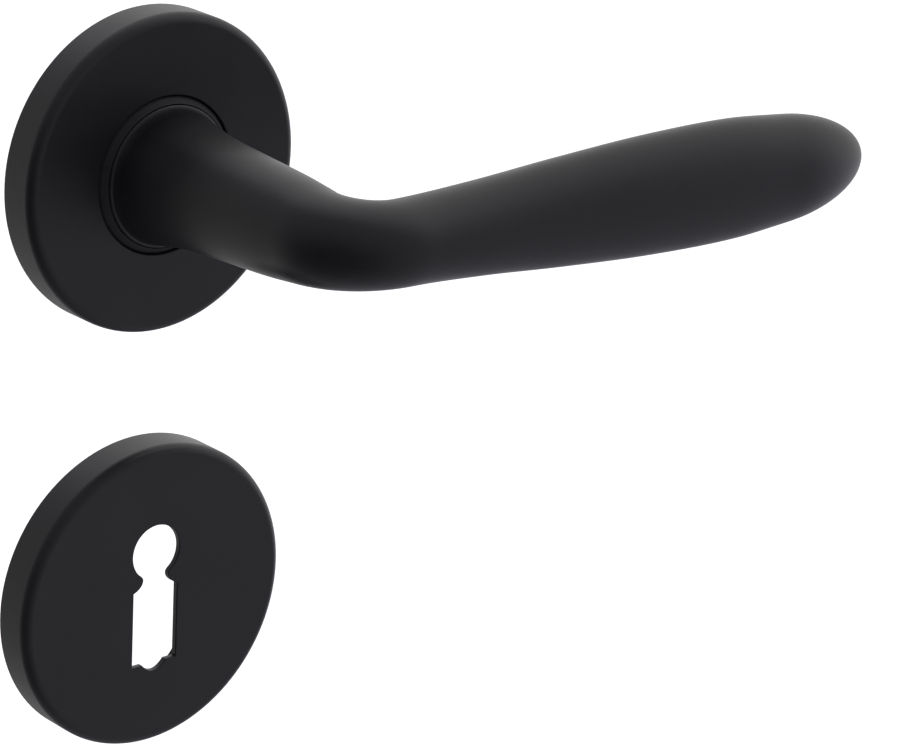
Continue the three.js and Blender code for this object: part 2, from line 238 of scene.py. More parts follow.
def addMath(tree, operation, x, y, first, second=None, clamp=False):
    node = addNode(tree, "ShaderNodeMath", x, y, operation=operation, use_clamp=clamp)
    for socket, value in zip(node.inputs, (first, second)):
        if isinstance(value, (int, float)):
            socket.default_value = value
        elif value is not None:
            tree.links.new(value, socket)
    return node.outputs[0]


def newGroup(name, inputs, outputs):
    tree = bpy.data.node_groups.new(name, "ShaderNodeTree")
    for label, kind, value in inputs:
        socket = tree.interface.new_socket(name=label, in_out="INPUT", socket_type=kind)
        if value is not None:
            socket.default_value = value
    for label, kind in outputs:
        tree.interface.new_socket(name=label, in_out="OUTPUT", socket_type=kind)
    source = addNode(tree, "NodeGroupInput", -900, 0)
    result = addNode(tree, "NodeGroupOutput", 700, 0)
    return tree, source.outputs, result.inputs


def useNoise(tree, x, y, place, size, detail=2.0, rough=0.5):
    # size is a socket or a number, and counts features in a metre
    node = addNode(tree, "ShaderNodeTexNoise", x, y)
    node.inputs["Detail"].default_value = detail
    node.inputs["Roughness"].default_value = rough
    tree.links.new(place, node.inputs["Vector"])
    if isinstance(size, (int, float)):
        node.inputs["Scale"].default_value = size
    else:
        tree.links.new(size, node.inputs["Scale"])
    return node.outputs["Fac"]


def useRange(tree, x, y, value, low, high, toLow, toHigh, smooth=True):
    node = addNode(tree, "ShaderNodeMapRange", x, y)
    node.interpolation_type = "SMOOTHSTEP" if smooth else "LINEAR"
    node.inputs["From Min"].default_value = low
    node.inputs["From Max"].default_value = high
    node.inputs["To Min"].default_value = toLow
    node.inputs["To Max"].default_value = toHigh
    tree.links.new(value, node.inputs["Value"])
    return node.outputs["Result"]


def makePowderGroup():
    # baked powder coat: a soft orange peel, a fine tooth and a few pinhead specks
    tree, given, result = newGroup("powderCoat", [
        ("Place", "NodeSocketVector", None),
        ("Peel Scale", "NodeSocketFloat", 900.0),
        ("Tooth Scale", "NodeSocketFloat", 5200.0),
        ("Peel Share", "NodeSocketFloat", 0.6),
    ], [("Height", "NodeSocketFloat"), ("Speck", "NodeSocketFloat"), ("Cloud", "NodeSocketFloat")])
    peel = useNoise(tree, -600, 260, given["Place"], given["Peel Scale"], 1.5, 0.45)
    tooth = useNoise(tree, -600, 20, given["Place"], given["Tooth Scale"], 3.0, 0.6)
    cloud = useNoise(tree, -600, -220, given["Place"], 55.0, 3.0, 0.55)
    cells = addNode(tree, "ShaderNodeTexVoronoi", -600, -460)
    cells.inputs["Scale"].default_value = 1500.0
    tree.links.new(given["Place"], cells.inputs["Vector"])
    speck = useRange(tree, -380, -460, cells.outputs["Distance"], 0.06, 0.16, 1.0, 0.0)
    rare = useNoise(tree, -600, -700, given["Place"], 700.0, 0.0, 0.5)
    few = useRange(tree, -380, -700, rare, 0.62, 0.7, 0.0, 1.0)
    peelPart = addMath(tree, "MULTIPLY", -160, 240, peel, given["Peel Share"])
    toothShare = addMath(tree, "SUBTRACT", -380, 60, 1.0, given["Peel Share"])
    toothPart = addMath(tree, "MULTIPLY", -160, 60, tooth, toothShare)
    tree.links.new(addMath(tree, "ADD", 60, 160, peelPart, toothPart), result["Height"])
    tree.links.new(addMath(tree, "MULTIPLY", 60, -460, speck, few), result["Speck"])
    tree.links.new(cloud, result["Cloud"])
    return tree


def makeEdgeGroup():
    # how far a point stands on an edge: the rounded normal is compared with the true one
    tree, given, result = newGroup("edgeRub", [
        ("Place", "NodeSocketVector", None),
        ("Amount", "NodeSocketFloat", 1.0),
        ("Width", "NodeSocketFloat", 0.0004),
        ("Break Up", "NodeSocketFloat", 260.0),
    ], [("Mask", "NodeSocketFloat")])
    rounded = addNode(tree, "ShaderNodeBevel", -760, 160, samples=4)
    tree.links.new(given["Width"], rounded.inputs["Radius"])
    geometry = addNode(tree, "ShaderNodeNewGeometry", -760, 0)
    match = addNode(tree, "ShaderNodeVectorMath", -580, 120, operation="DOT_PRODUCT")
    tree.links.new(rounded.outputs["Normal"], match.inputs[0])
    tree.links.new(geometry.outputs["Normal"], match.inputs[1])
    edge = useRange(tree, -380, 160, match.outputs["Value"], 0.985, 0.88, 0.0, 1.0)
    broken = useNoise(tree, -600, -120, given["Place"], given["Break Up"], 4.0, 0.6)
    worn = useRange(tree, -380, -120, broken, 0.38, 0.66, 0.15, 1.0)
    both = addMath(tree, "MULTIPLY", -160, 60, edge, worn)
    tree.links.new(addMath(tree, "MULTIPLY", 60, 60, both, given["Amount"], True), result["Mask"])
    return tree


def makeLineGroup():
    # fine lines along one axis, as rolling, drawing or turning leaves them
    tree, given, result = newGroup("drawnLines", [
        ("Place", "NodeSocketVector", None),
        ("Stretch", "NodeSocketVector", (1.0, 0.05, 1.0)),
        ("Line Scale", "NodeSocketFloat", 4500.0),
    ], [("Height", "NodeSocketFloat"), ("Streak", "NodeSocketFloat")])
    scaled = addNode(tree, "ShaderNodeVectorMath", -640, 120, operation="MULTIPLY")
    tree.links.new(given["Place"], scaled.inputs[0])
    tree.links.new(given["Stretch"], scaled.inputs[1])
    lines = useNoise(tree, -400, 160, scaled.outputs[0], given["Line Scale"], 4.0, 0.65)
    coarse = addMath(tree, "MULTIPLY", -640, -140, given["Line Scale"], 0.12)
    streak = useNoise(tree, -400, -140, scaled.outputs[0], coarse, 2.0, 0.5)
    tree.links.new(lines, result["Height"])
    tree.links.new(streak, result["Streak"])
    return tree


def makeSkinGroup():
    # spark-eroded mould skin with faint flow marks
    tree, given, result = newGroup("mouldSkin", [
        ("Place", "NodeSocketVector", None),
        ("Grain Scale", "NodeSocketFloat", 2600.0),
        ("Flow Scale", "NodeSocketFloat", 90.0),
    ], [("Height", "NodeSocketFloat"), ("Flow", "NodeSocketFloat")])
    cells = addNode(tree, "ShaderNodeTexVoronoi", -600, 200, feature="SMOOTH_F1")
    tree.links.new(given["Place"], cells.inputs["Vector"])
    tree.links.new(given["Grain Scale"], cells.inputs["Scale"])
    fine = useNoise(tree, -600, -60, given["Place"], given["Grain Scale"], 3.0, 0.6)
    flow = useNoise(tree, -600, -320, given["Place"], given["Flow Scale"], 3.0, 0.6)
    tree.links.new(addMath(tree, "ADD", -160, 120, cells.outputs["Distance"], fine), result["Height"])
    tree.links.new(flow, result["Flow"])
    return tree


powderCoat = makePowderGroup()
edgeRub = makeEdgeGroup()
drawnLines = makeLineGroup()
mouldSkin = makeSkinGroup()


def startMaterial(name):
    material = bpy.data.materials.new(name)
    material.use_nodes = True
    tree = material.node_tree
    tree.nodes.clear()
    output = addNode(tree, "ShaderNodeOutputMaterial", 900, 0)
    shader = addNode(tree, "ShaderNodeBsdfPrincipled", 600, 0)
    tree.links.new(shader.outputs["BSDF"], output.inputs["Surface"])
    place = addNode(tree, "ShaderNodeTexCoord", -1100, 0).outputs["Object"]
    return material, tree, shader, place


def placeGroup(tree, group, x, y, place, values):
    node = addNode(tree, "ShaderNodeGroup", x, y, node_tree=group)
    tree.links.new(place, node.inputs["Place"])
    for name, value in values.items():
        node.inputs[name].default_value = value
    return node.outputs


def colourMix(tree, x, y, factor, first, second):
    node = addNode(tree, "ShaderNodeMix", x, y, data_type="RGBA")
    tree.links.new(factor, node.inputs[0])
    for socket, value in ((node.inputs[6], first), (node.inputs[7], second)):
        if isinstance(value, tuple):
            socket.default_value = (*value, 1.0)
        else:
            tree.links.new(value, socket)
    return node.outputs[2]


def bumpFrom(tree, shader, x, y, height, distance):
    bump = addNode(tree, "ShaderNodeBump", x, y)
    bump.inputs["Strength"].default_value = 1
    bump.inputs["Distance"].default_value = distance
    tree.links.new(height, bump.inputs["Height"])
    tree.links.new(bump.outputs["Normal"], shader.inputs["Normal"])


def makeBlackPaint(name, look):
    material, tree, shader, place = startMaterial(name)
    coat = placeGroup(tree, powderCoat, -800, 200, place,
                      {"Peel Scale": look["peelScale"], "Tooth Scale": look["toothScale"],
                       "Peel Share": look["peelShare"]})
    edge = placeGroup(tree, edgeRub, -800, -160, place, {"Amount": look["edgeAmount"]})
    cloud = useRange(tree, -540, 260, coat["Cloud"], 0.35, 0.65, 0.0, 1.0)
    tone = colourMix(tree, -300, 260, cloud, look["deep"], look["base"])
    rubbed = colourMix(tree, -60, 200, edge["Mask"], tone, look["rubbed"])
    tree.links.new(colourMix(tree, 180, 200, coat["Speck"], rubbed, look["speck"]),
                   shader.inputs["Base Color"])
    sheen = useRange(tree, -300, -20, coat["Cloud"], 0.3, 0.7, look["roughness"] - look["roughSpread"],
                     look["roughness"] + look["roughSpread"])
    polish = addMath(tree, "MULTIPLY", -60, -160, edge["Mask"], look["edgePolish"])
    tree.links.new(addMath(tree, "SUBTRACT", 180, -60, sheen, polish), shader.inputs["Roughness"])
    shader.inputs["Specular IOR Level"].default_value = look["specular"]
    bumpFrom(tree, shader, 340, -260, coat["Height"], look["bump"])
    return material


coverPaint = {   # scales count features in a metre; bump is in metres
    "base": (0.0072, 0.0072, 0.0088), "deep": (0.0060, 0.0060, 0.0074),
    "rubbed": (0.018, 0.018, 0.020), "speck": (0.013, 0.013, 0.015),
    "roughness": 0.40, "roughSpread": 0.03, "specular": 0.5, "edgeAmount": 0.5, "edgePolish": 0.06,
    "peelScale": 1100.0, "toothScale": 6500.0, "peelShare": 0.45, "bump": 0.00003,
}
castingPaint = {
    "base": (0.0068, 0.0068, 0.0083), "deep": (0.0056, 0.0056, 0.0070),
    "rubbed": (0.016, 0.016, 0.018), "speck": (0.012, 0.012, 0.014),
    "roughness": 0.36, "roughSpread": 0.03, "specular": 0.5, "edgeAmount": 0.4, "edgePolish": 0.05,
    "peelScale": 700.0, "toothScale": 6000.0, "peelShare": 0.55, "bump": 0.00003,
}


def makeMoulded(name, look):
    material, tree, shader, place = startMaterial(name)
    skin = placeGroup(tree, mouldSkin, -800, 200, place,
                      {"Grain Scale": look["grainScale"], "Flow Scale": look["flowScale"]})
    edge = placeGroup(tree, edgeRub, -800, -160, place, {"Amount": look["edgeAmount"]})
    flow = useRange(tree, -540, 260, skin["Flow"], 0.3, 0.7, 0.0, 1.0)
    tone = colourMix(tree, -300, 260, flow, look["deep"], look["base"])
    tree.links.new(colourMix(tree, 180, 200, edge["Mask"], tone, look["rubbed"]),
                   shader.inputs["Base Color"])
    sheen = useRange(tree, 180, -60, skin["Flow"], 0.3, 0.7, look["roughness"] - look["roughSpread"],
                     look["roughness"] + look["roughSpread"])
    tree.links.new(sheen, shader.inputs["Roughness"])
    shader.inputs["Specular IOR Level"].default_value = look["specular"]
    shader.inputs["Subsurface Weight"].default_value = look["translucent"]
    shader.inputs["Subsurface Radius"].default_value = (0.002, 0.0018, 0.0015)
    bumpFrom(tree, shader, 340, -260, skin["Height"], look["bump"])
    return material


nylonLook = {
    "base": (0.0100, 0.0100, 0.0116), "deep": (0.0078, 0.0078, 0.0092), "rubbed": (0.022, 0.022, 0.024),
    "roughness": 0.55, "roughSpread": 0.05, "specular": 0.32, "translucent": 0.0,
    "edgeAmount": 0.6, "grainScale": 2600.0, "flowScale": 90.0, "bump": 0.00002,
}
acetalLook = {
    "base": (0.78, 0.77, 0.72), "deep": (0.72, 0.71, 0.66), "rubbed": (0.85, 0.84, 0.8),
    "roughness": 0.42, "roughSpread": 0.05, "specular": 0.5, "translucent": 0.15,
    "edgeAmount": 0.5, "grainScale": 3200.0, "flowScale": 140.0, "bump": 0.00001,
}


def makeSteel(name, look):
    material, tree, shader, place = startMaterial(name)
    lines = placeGroup(tree, drawnLines, -800, 200, place,
                       {"Line Scale": look["lineScale"], "Stretch": look["stretch"]})
    edge = placeGroup(tree, edgeRub, -800, -160, place, {"Amount": look["edgeAmount"]})
    spangle = useNoise(tree, -800, -420, place, look["spangleScale"], 3.0, 0.6)
    bloom = useRange(tree, -540, -420, spangle, 0.35, 0.68, 0.0, 1.0)
    tone = colourMix(tree, -300, 260, bloom, look["base"], look["bloom"])
    tree.links.new(colourMix(tree, 180, 200, edge["Mask"], tone, look["rubbed"]),
                   shader.inputs["Base Color"])
    dull = addMath(tree, "MULTIPLY", -60, -60, bloom, look["bloomRough"])
    streaks = useRange(tree, -300, -60, lines["Streak"], 0.3, 0.7, look["roughness"] - look["roughSpread"],
                       look["roughness"] + look["roughSpread"])
    tree.links.new(addMath(tree, "ADD", 180, -60, streaks, dull), shader.inputs["Roughness"])
    shader.inputs["Metallic"].default_value = 1.0
    bumpFrom(tree, shader, 340, -260, lines["Height"], look["bump"])
    return material


zincLook = {
    "base": (0.50, 0.51, 0.53), "bloom": (0.43, 0.45, 0.49), "rubbed": (0.72, 0.73, 0.75),
    "roughness": 0.30, "roughSpread": 0.06, "bloomRough": 0.12, "edgeAmount": 0.8, "lineScale": 4200.0,
    "stretch": (1.0, 0.06, 1.0), "spangleScale": 420.0, "bump": 0.000012,
}
springLook = {
    "base": (0.23, 0.235, 0.25), "bloom": (0.17, 0.175, 0.19), "rubbed": (0.42, 0.43, 0.45),
    "roughness": 0.34, "roughSpread": 0.06, "bloomRough": 0.10, "edgeAmount": 0.8, "lineScale": 5200.0,
    "stretch": (1.0, 1.0, 0.25), "spangleScale": 600.0, "bump": 0.00001,
}

coverFinish = makeBlackPaint("powder_black", coverPaint)
castingFinish = makeBlackPaint("casting_black", castingPaint)
nylonFinish = makeMoulded("black_nylon", nylonLook)
acetalFinish = makeMoulded("white_acetal", acetalLook)
zincFinish = makeSteel("bright_zinc", zincLook)
springFinish = makeSteel("spring_steel", springLook)
print("finishes made")

cover = {
    "edge": 1.6,         # rounding of the front edge
    "wall": 1.0,
    "hole": 12.9,        # radius of the lever's hole
    "holeEdge": 0.3,
    "backEdge": 0.15,
    "insideEdge": 0.1,
    "steps": 160,
}


def coverCorners(node, hole):
    low, high = nodeSpan(node)
    radius, front = (high.x - low.x) / 2, low.y
    inside, behind = radius - cover["wall"], front + cover["wall"]
    outer = [(radius, front, cover["edge"]),
             (radius, high.y, cover["backEdge"]),
             (inside, high.y, cover["insideEdge"]),
             (inside, behind, cover["edge"] - cover["wall"])]
    if hole:
        return [(hole, front, cover["holeEdge"])] + outer + [(hole, behind, cover["insideEdge"])]
    return [(0, front)] + outer + [(0, behind)]


def makeRoseCover():
    bm = spunSolid(coverCorners("rose_cover", cover["hole"]), cover["steps"])
    makePiece(bm, "roseCover", coverFinish, doorBody, ["rose_cover"])


keyhole = {              # heights are from the middle of the escutcheon
    "radius": 4.7,
    "centre": 7.9,
    "mouth": 44,         # degrees below level where the round part ends
    "roundSteps": 24,
    "waist": 2.5,        # half width of the throat
    "waistHeight": 3.5,
    "throatPull": 0.5,
    "throatSteps": 6,
    "slot": 4.4,         # half width of the slot
    "shoulder": 1.5,
    "shoulderPull": (0.1, 0.7),
    "shoulderSteps": 10,
    "foot": -11.7,
    "lobe": 2.4,         # half width of the bulge at the foot
    "lobeDepth": 2.8,
    "lobeSteps": 12,
    "edge": 0.2,
    "reach": 17.9,       # nothing of the keyhole is further out
    "sharpAngle": 12,
}


def curvePoints(start, pull, end, count):
    # points after start along a quadratic curve
    result = []
    for i in range(1, count + 1):
        t = i / count
        result.append(tuple((1 - t) ** 2 * a + 2 * t * (1 - t) * b + t * t * c
                            for a, b, c in zip(start, pull, end)))
    return result


def keyholeOutline():
    key = keyhole
    mouth = polar(key["radius"], -key["mouth"])
    throat = (mouth.x, key["centre"] + mouth.z)
    waist = (key["waist"], key["waistHeight"])
    shoulder = (key["slot"], key["shoulder"])
    shoulderPull = (key["waist"] + key["shoulderPull"][0], key["shoulder"] + key["shoulderPull"][1])
    throatPull = (key["waist"], key["waistHeight"] + key["throatPull"])
    side = [(key["slot"], key["foot"]), shoulder]
    side += curvePoints(shoulder, shoulderPull, waist, key["shoulderSteps"])
    side += curvePoints(waist, throatPull, throat, key["throatSteps"])
    for i in range(1, key["roundSteps"] + 1):
        point = polar(key["radius"], (90 + key["mouth"]) * i / key["roundSteps"] - key["mouth"])
        side.append((point.x, key["centre"] + point.z))
    other = [(-x, z) for x, z in reversed(side[:-1])]
    lobeStart, lobeEnd = (-key["lobe"], key["foot"]), (key["lobe"], key["foot"])
    lobePull = (0, key["foot"] - key["lobeDepth"])
    return side + other + [lobeStart] + curvePoints(lobeStart, lobePull, lobeEnd, key["lobeSteps"])


def makeEscutcheonCover():
    bm = spunSolid(coverCorners("escutcheon_cover", 0), cover["steps"])
    front = nodeSpan("escutcheon_cover")[0].y
    flatDepths = (front, front + cover["wall"])
    # without this the wedges leave stray points on the keyhole's edge
    dissolveFlat(bm, flatDepths)
    bm = cut(bm, [plateFrom(keyholeOutline(), front - 1, 0)])
    dissolveFlat(bm, flatDepths)

    def onKeyhole(point):
        return abs(point.y - front) < 0.01 and Vector((point.x, point.z)).length < keyhole["reach"]

    softenEdges(bm, keyhole["edge"], 3, onKeyhole)
    shifted(bm, z=-escutcheonDrop)
    makePiece(bm, "escutcheonCover", coverFinish, doorBody, ["escutcheon_cover"],
              keyhole["sharpAngle"])


makeRoseCover()
makeEscutcheonCover()
print("covers made")

lever = {
    "gripDepth": 52.9,       # the grip's centre line, out from the door
    "bend": 10,              # radius of the elbow's centre line
    "slope": 0.054,          # how far the grip leans out, per mm of its length
    "tip": 17,               # length of the rounded tip
    "tipRings": 22,
    "step": 1.0,             # between rings
    "sides": 72,
    # distance along the centre line from the door, half height, half depth
    "sections": [
        (8.6, 10.9, 10.9), (17, 9.5, 9.5), (27, 8.8, 8.8), (37, 8.2, 8.3), (47, 7.2, 7.5),
        (57.5, 6.7, 6.9), (72, 7.4, 6.5), (88, 8.7, 6.4), (106, 9.8, 6.6), (124, 10, 6.8),
        (138, 8.9, 6.6), (152.5, 8.2, 6.3)],
    # distance, radius, rounding: the turned boss and the collar
    "boss": [(-7.6, 8, 0.4), (-6.8, 8, 0), (-6.8, 7, 0), (-5.4, 7, 0), (-5.4, 8, 0), (5.2, 8, 0),
             (5.2, 11.6, 0.2), (7.9, 11.6, 0.3), (8.0, 11.15, 0)],
    "flat": 7,               # the driver plate grips two flats
    "flatFront": -5.2,
    "flatBack": -3.8,
    "socket": 4.3,           # half width of the square socket
    "socketFront": -23.7,
    "socketBack": 9,
    "grubDepth": -14,
    "grubRadius": 3.15,
    "grubReach": 14,
    "clear": 10,             # further out than the boss
    "sharpAngle": 40,
}


def leverPlace(distance, halfHeight, halfDepth):
    # matrix that lays a unit circle across the lever at a distance along its centre line
    elbow = math.pi / 2 - math.atan(lever["slope"])
    bendStart = lever["gripDepth"] - lever["bend"] * math.sin(elbow)
    angle = min(max((distance - bendStart) / lever["bend"], 0), elbow)
    along = Vector((math.sin(angle), -math.cos(angle), 0))
    centre = Vector((lever["bend"] * (1 - math.cos(angle)),
                     -min(distance, bendStart) - lever["bend"] * math.sin(angle), 0))
    centre += along * max(distance - bendStart - lever["bend"] * elbow, 0)
    across = Vector((-along.y, along.x, 0)) * halfDepth * mm
    up = Vector((0, 0, halfHeight * mm))
    turn = Matrix((across, up, along * mm)).transposed().to_4x4()
    return Matrix.Translation(centre * mm) @ turn


def sectionAt(distance):
    # half height and half depth, smooth between the listed sections
    rows = lever["sections"]
    i = max(j for j in range(len(rows) - 1) if rows[j][0] <= distance or j == 0)
    start, end = rows[i], rows[i + 1]
    before, after = rows[max(i - 1, 0)], rows[min(i + 2, len(rows) - 1)]
    t = (distance - start[0]) / (end[0] - start[0])
    sizes = []
    for k in (1, 2):
        slopeStart = (end[k] - before[k]) / (end[0] - before[0]) * (end[0] - start[0])
        slopeEnd = (after[k] - start[k]) / (after[0] - start[0]) * (end[0] - start[0])
        sizes.append(start[k] * (2 * t ** 3 - 3 * t ** 2 + 1) + slopeStart * (t ** 3 - 2 * t ** 2 + t)
                     + end[k] * (3 * t ** 2 - 2 * t ** 3) + slopeEnd * (t ** 3 - t ** 2))
    return sizes


def leverRings():
    rings = [(distance, radius, radius, rounding) for distance, radius, rounding in lever["boss"]]
    first, last = lever["sections"][0][0], lever["sections"][-1][0]
    length = last - lever["tip"] - first
    count = round(length / lever["step"])
    for i in range(count + 1):
        distance = first + length * i / count
        rings.append((distance, *sectionAt(distance), 0))
    for i in range(1, lever["tipRings"]):
        angle = math.pi / 2 * i / lever["tipRings"]
        distance = last - lever["tip"] * (1 - math.sin(angle))
        high, deep = sectionAt(distance)
        rings.append((distance, high * math.cos(angle), deep * math.cos(angle), 0))
    return rings


def leverBlank():
    rings = leverRings()
    bm = bmesh.new()
    place = leverPlace(*rings[0][:3])
    bmesh.ops.create_circle(bm, cap_ends=True, radius=1, segments=lever["sides"])
    bmesh.ops.transform(bm, matrix=place, verts=bm.verts)
    ringEdges = bm.edges[:]
    rounded = {}
    for ring, following in zip(rings, rings[1:] + [None]):
        if ring[3]:
            rounded.setdefault(ring[3], []).extend(ringEdges)
        grown = bmesh.ops.extrude_edge_only(bm, edges=ringEdges)["geom"]
        ringEdges = [item for item in grown if isinstance(item, bmesh.types.BMEdge)]
        newVerts = [item for item in grown if isinstance(item, bmesh.types.BMVert)]
        if following:
            newPlace = leverPlace(*following[:3])
            bmesh.ops.transform(bm, matrix=newPlace @ place.inverted(), verts=newVerts)
            place = newPlace
        else:
            end = leverPlace(lever["sections"][-1][0], 1, 1).translation
            bmesh.ops.pointmerge(bm, verts=newVerts, merge_co=end)
    for rounding, edges in rounded.items():
        bmesh.ops.bevel(bm, geom=edges, offset=rounding * mm, segments=5, profile=0.5, affect="EDGES",
                        material=-1, clamp_overlap=True)
    tidyMesh(bm)
    return bm


def makeLeverHandle():
    half, clear = lever["socket"], lever["clear"]
    socket = block((-half, lever["socketFront"], -half), (half, lever["socketBack"], half))
    flats = [block((low, lever["flatFront"], -clear), (high, lever["flatBack"], clear))
             for low, high in ((lever["flat"], clear), (-clear, -lever["flat"]))]
    grubHole = pointedDown(disc(lever["grubRadius"], 0, lever["grubReach"], 40))
    shifted(grubHole, y=lever["grubDepth"])
    bm = cut(leverBlank(), [socket, grubHole] + flats)
    makePiece(bm, "leverHandle", castingFinish, leverBody, ["lever_handle"],
              lever["sharpAngle"], False)


makeLeverHandle()
print("lever made")

guide = {
    "inner": 11.7,
    "outer": 12.84,
    "flange": 16,        # held behind the cover
    "lip": -7.7,         # the face is a cone from the cover's hole up to the collar
    "front": -6.5,
    "step": -5.7,
    "back": -5.2,
    "faceEdge": 0.12,
    "flangeEdge": 0.15,
    "backEdge": 0.1,
}


def makeGuideRing():
    bm = spunSolid([(guide["inner"], guide["lip"], guide["faceEdge"]),
                    (guide["outer"], guide["front"], guide["faceEdge"]),
                    (guide["outer"], guide["step"]),
                    (guide["flange"], guide["step"], guide["flangeEdge"]),
                    (guide["flange"], guide["back"], guide["flangeEdge"]),
                    (guide["inner"], guide["back"], guide["backEdge"])], 128)
    makePiece(bm, "guideRing", nylonFinish, doorBody, ["guide_ring"])


fixings = {              # degrees from +x towards +z
    "screwCircle": 19.4,
    "screwHoles": (35, 145, 215, 325),
    "screws": {"right": 35, "left": 215},
    "sleeveCircle": 19,
    "sleeves": {"upper": 90, "lower": 270},
}
base = {                 # the moulded dish that each plate has
    "radius": 24.6,
    "floor": 1.2,
    "floorEdge": 0.4,
    "front": -5.6,       # front edge of the rim
    "rim": 1.8,
    "rimInside": 0.25,
    "rimOutside": 0.4,
    "grooveFloor": 23.45,
    "grooveFront": -3.05,
    "grooveBack": -1.55,
    "grooveEdge": 0.1,
    "backEdge": 0.2,
    "root": -0.5,        # what stands on the floor starts inside it
    "bossRadius": 4.2,
    "bossFront": -4.6,
    "bossEdge": 0.25,
    "seat": [(0, -6), (3.7, -6), (3.7, -4.1), (2, -2.3), (2, 1), (0, 1)],  # countersunk hole
    "ribFront": -3.4,
    "ribWidth": 1,
    "pinMark": 1.9,      # ejector pins leave shallow round dips on the back
    "pinFloor": 1.4,
    "pinDepth": 0.28,
    "steps": 128,
}


def baseDish():
    inside = base["radius"] - base["rim"]
    return spunSolid([(0, -base["floor"]),
                      (inside, -base["floor"], base["floorEdge"]),
                      (inside, base["front"], base["rimInside"]),
                      (base["radius"], base["front"], base["rimOutside"]),
                      (base["radius"], base["grooveFront"], base["grooveEdge"]),
                      (base["grooveFloor"], base["grooveFront"]),
                      (base["grooveFloor"], base["grooveBack"]),
                      (base["radius"], base["grooveBack"], base["grooveEdge"]),
                      (base["radius"], 0, base["backEdge"]),
                      (0, 0)], base["steps"])


def atCircle(bm, circle, degrees):
    # moves a shape from the y axis out to a circle round it
    centre = polar(circle, degrees)
    return shifted(bm, x=centre.x, z=centre.z)


def bossAt(radius, circle, degrees):
    root, front = base["root"], base["bossFront"]
    boss = spunSolid([(0, root), (radius, root), (radius, front, base["bossEdge"]), (0, front)], 40)
    return atCircle(boss, circle, degrees)


def screwBosses():
    return [bossAt(base["bossRadius"], fixings["screwCircle"], degrees) for degrees in fixings["screwHoles"]]


def screwHoles():
    return [atCircle(spunSolid(base["seat"], 40), fixings["screwCircle"], degrees)
            for degrees in fixings["screwHoles"]]


def rib(inner, degrees):
    half = base["ribWidth"] / 2
    outer = base["radius"] - base["rim"] + 0.5  # runs a little into the rim
    return turned(block((inner, base["ribFront"], -half), (outer, base["root"], half)), degrees)


def ringPart(inner, outer, front, back, fromDegrees, toDegrees):
    return spunSolid([(inner, front), (outer, front), (outer, back), (inner, back)], 8,
                     toDegrees - fromDegrees, fromDegrees)


def pinMarks(circle, angles):
    depth = -base["pinDepth"]
    return [atCircle(spunSolid([(0, depth), (base["pinFloor"], depth), (base["pinMark"], 0.01),
                                (base["pinMark"], 1), (0, 1)], 32), circle, degrees) for degrees in angles]


rose = {
    "bore": 8.3,             # bearing of the lever's boss
    "chamfer": 0.4,
    "hub": 10.4,             # passes through the door
    "hubFront": -3.8,
    "hubEnd": 4.4,
    "hubEdge": 0.4,
    "channelInner": 12,      # the springs lie in a ring channel
    "channelInnerEdge": 0.2,
    "channelOuter": 15,
    "channelWall": 0.9,
    "channelFront": -4.9,
    "channelEdge": 0.15,
    "pegCircle": 10.2,       # pegs that stop the driver plate
    "pegRadius": 0.8,
    "pegs": (0, 180),
    "tabs": (90, 270),       # where the driver's tabs rest
    "seats": ((7, 13), (-102, -96)),  # spring seats, degrees on from each tab
    "seatGrip": 0.5,         # how far they run into the channel's walls
    "sleeveBoss": 3.6,
    "sleeveHole": 2.4,
    "ribs": (0, 62, 118, 180, 242, 298),
    "pinCircle": 15,
    "pins": (20, 70, 110, 160, 200, 250, 290, 340),
    "steps": 96,
}


def makeRoseBase():
    root, wallOutside = base["root"], rose["channelOuter"] + rose["channelWall"]
    walls = [spunSolid([(0, rose["hubFront"]),
                        (rose["channelInner"], rose["hubFront"], rose["channelInnerEdge"]),
                        (rose["channelInner"], root), (0, root)], rose["steps"]),
             spunSolid([(0, root), (rose["hub"], root), (rose["hub"], rose["hubEnd"], rose["hubEdge"]),
                        (0, rose["hubEnd"])], rose["steps"]),
             spunSolid([(rose["channelOuter"], rose["channelFront"], rose["channelEdge"]),
                        (wallOutside, rose["channelFront"], rose["channelEdge"]),
                        (wallOutside, root), (rose["channelOuter"], root)], rose["steps"])]
    walls += [rib(wallOutside - rose["channelWall"] / 2, degrees) for degrees in rose["ribs"]]
    walls += screwBosses()
    walls += [bossAt(rose["sleeveBoss"], fixings["sleeveCircle"], degrees)
              for degrees in fixings["sleeves"].values()]
    walls += [ringPart(rose["channelInner"] - rose["seatGrip"], rose["channelOuter"] + rose["seatGrip"],
                       rose["hubFront"], root, tab + start, tab + end)
              for tab in rose["tabs"] for start, end in rose["seats"]]
    walls += [atCircle(disc(rose["pegRadius"], rose["channelFront"], -3, 24), rose["pegCircle"], degrees)
              for degrees in rose["pegs"]]
    bm = join(baseDish(), walls)
    mouth, beyond = rose["hubEnd"] - rose["chamfer"], rose["hubEnd"] + 0.2
    holes = [spunSolid([(0, -9), (rose["bore"], -9), (rose["bore"], mouth),
                        (rose["bore"] + beyond - mouth, beyond), (0, beyond)], rose["steps"])]
    holes += screwHoles()
    holes += [atCircle(disc(rose["sleeveHole"], -8, 8, 40), fixings["sleeveCircle"], degrees)
              for degrees in fixings["sleeves"].values()]
    bm = cut(bm, holes + pinMarks(rose["pinCircle"], rose["pins"]))
    makePiece(bm, "roseBase", nylonFinish, doorBody, ["rose_base"])


keyWindow = {            # the escutcheon's base is open behind the keyhole
    "half": 10.5,
    "top": 14.5,
    "bottom": -17.5,
    "corner": 8,
    "cornerSteps": 12,
    "wall": 1.2,
    "front": -4.8,
    "ribs": ((11, (0, 180)), (15, (62, 118)), (18, (242, 298))),  # inner end, degrees
    "pinCircle": 20.5,
    "pins": (90, 10, 170, 270),
}


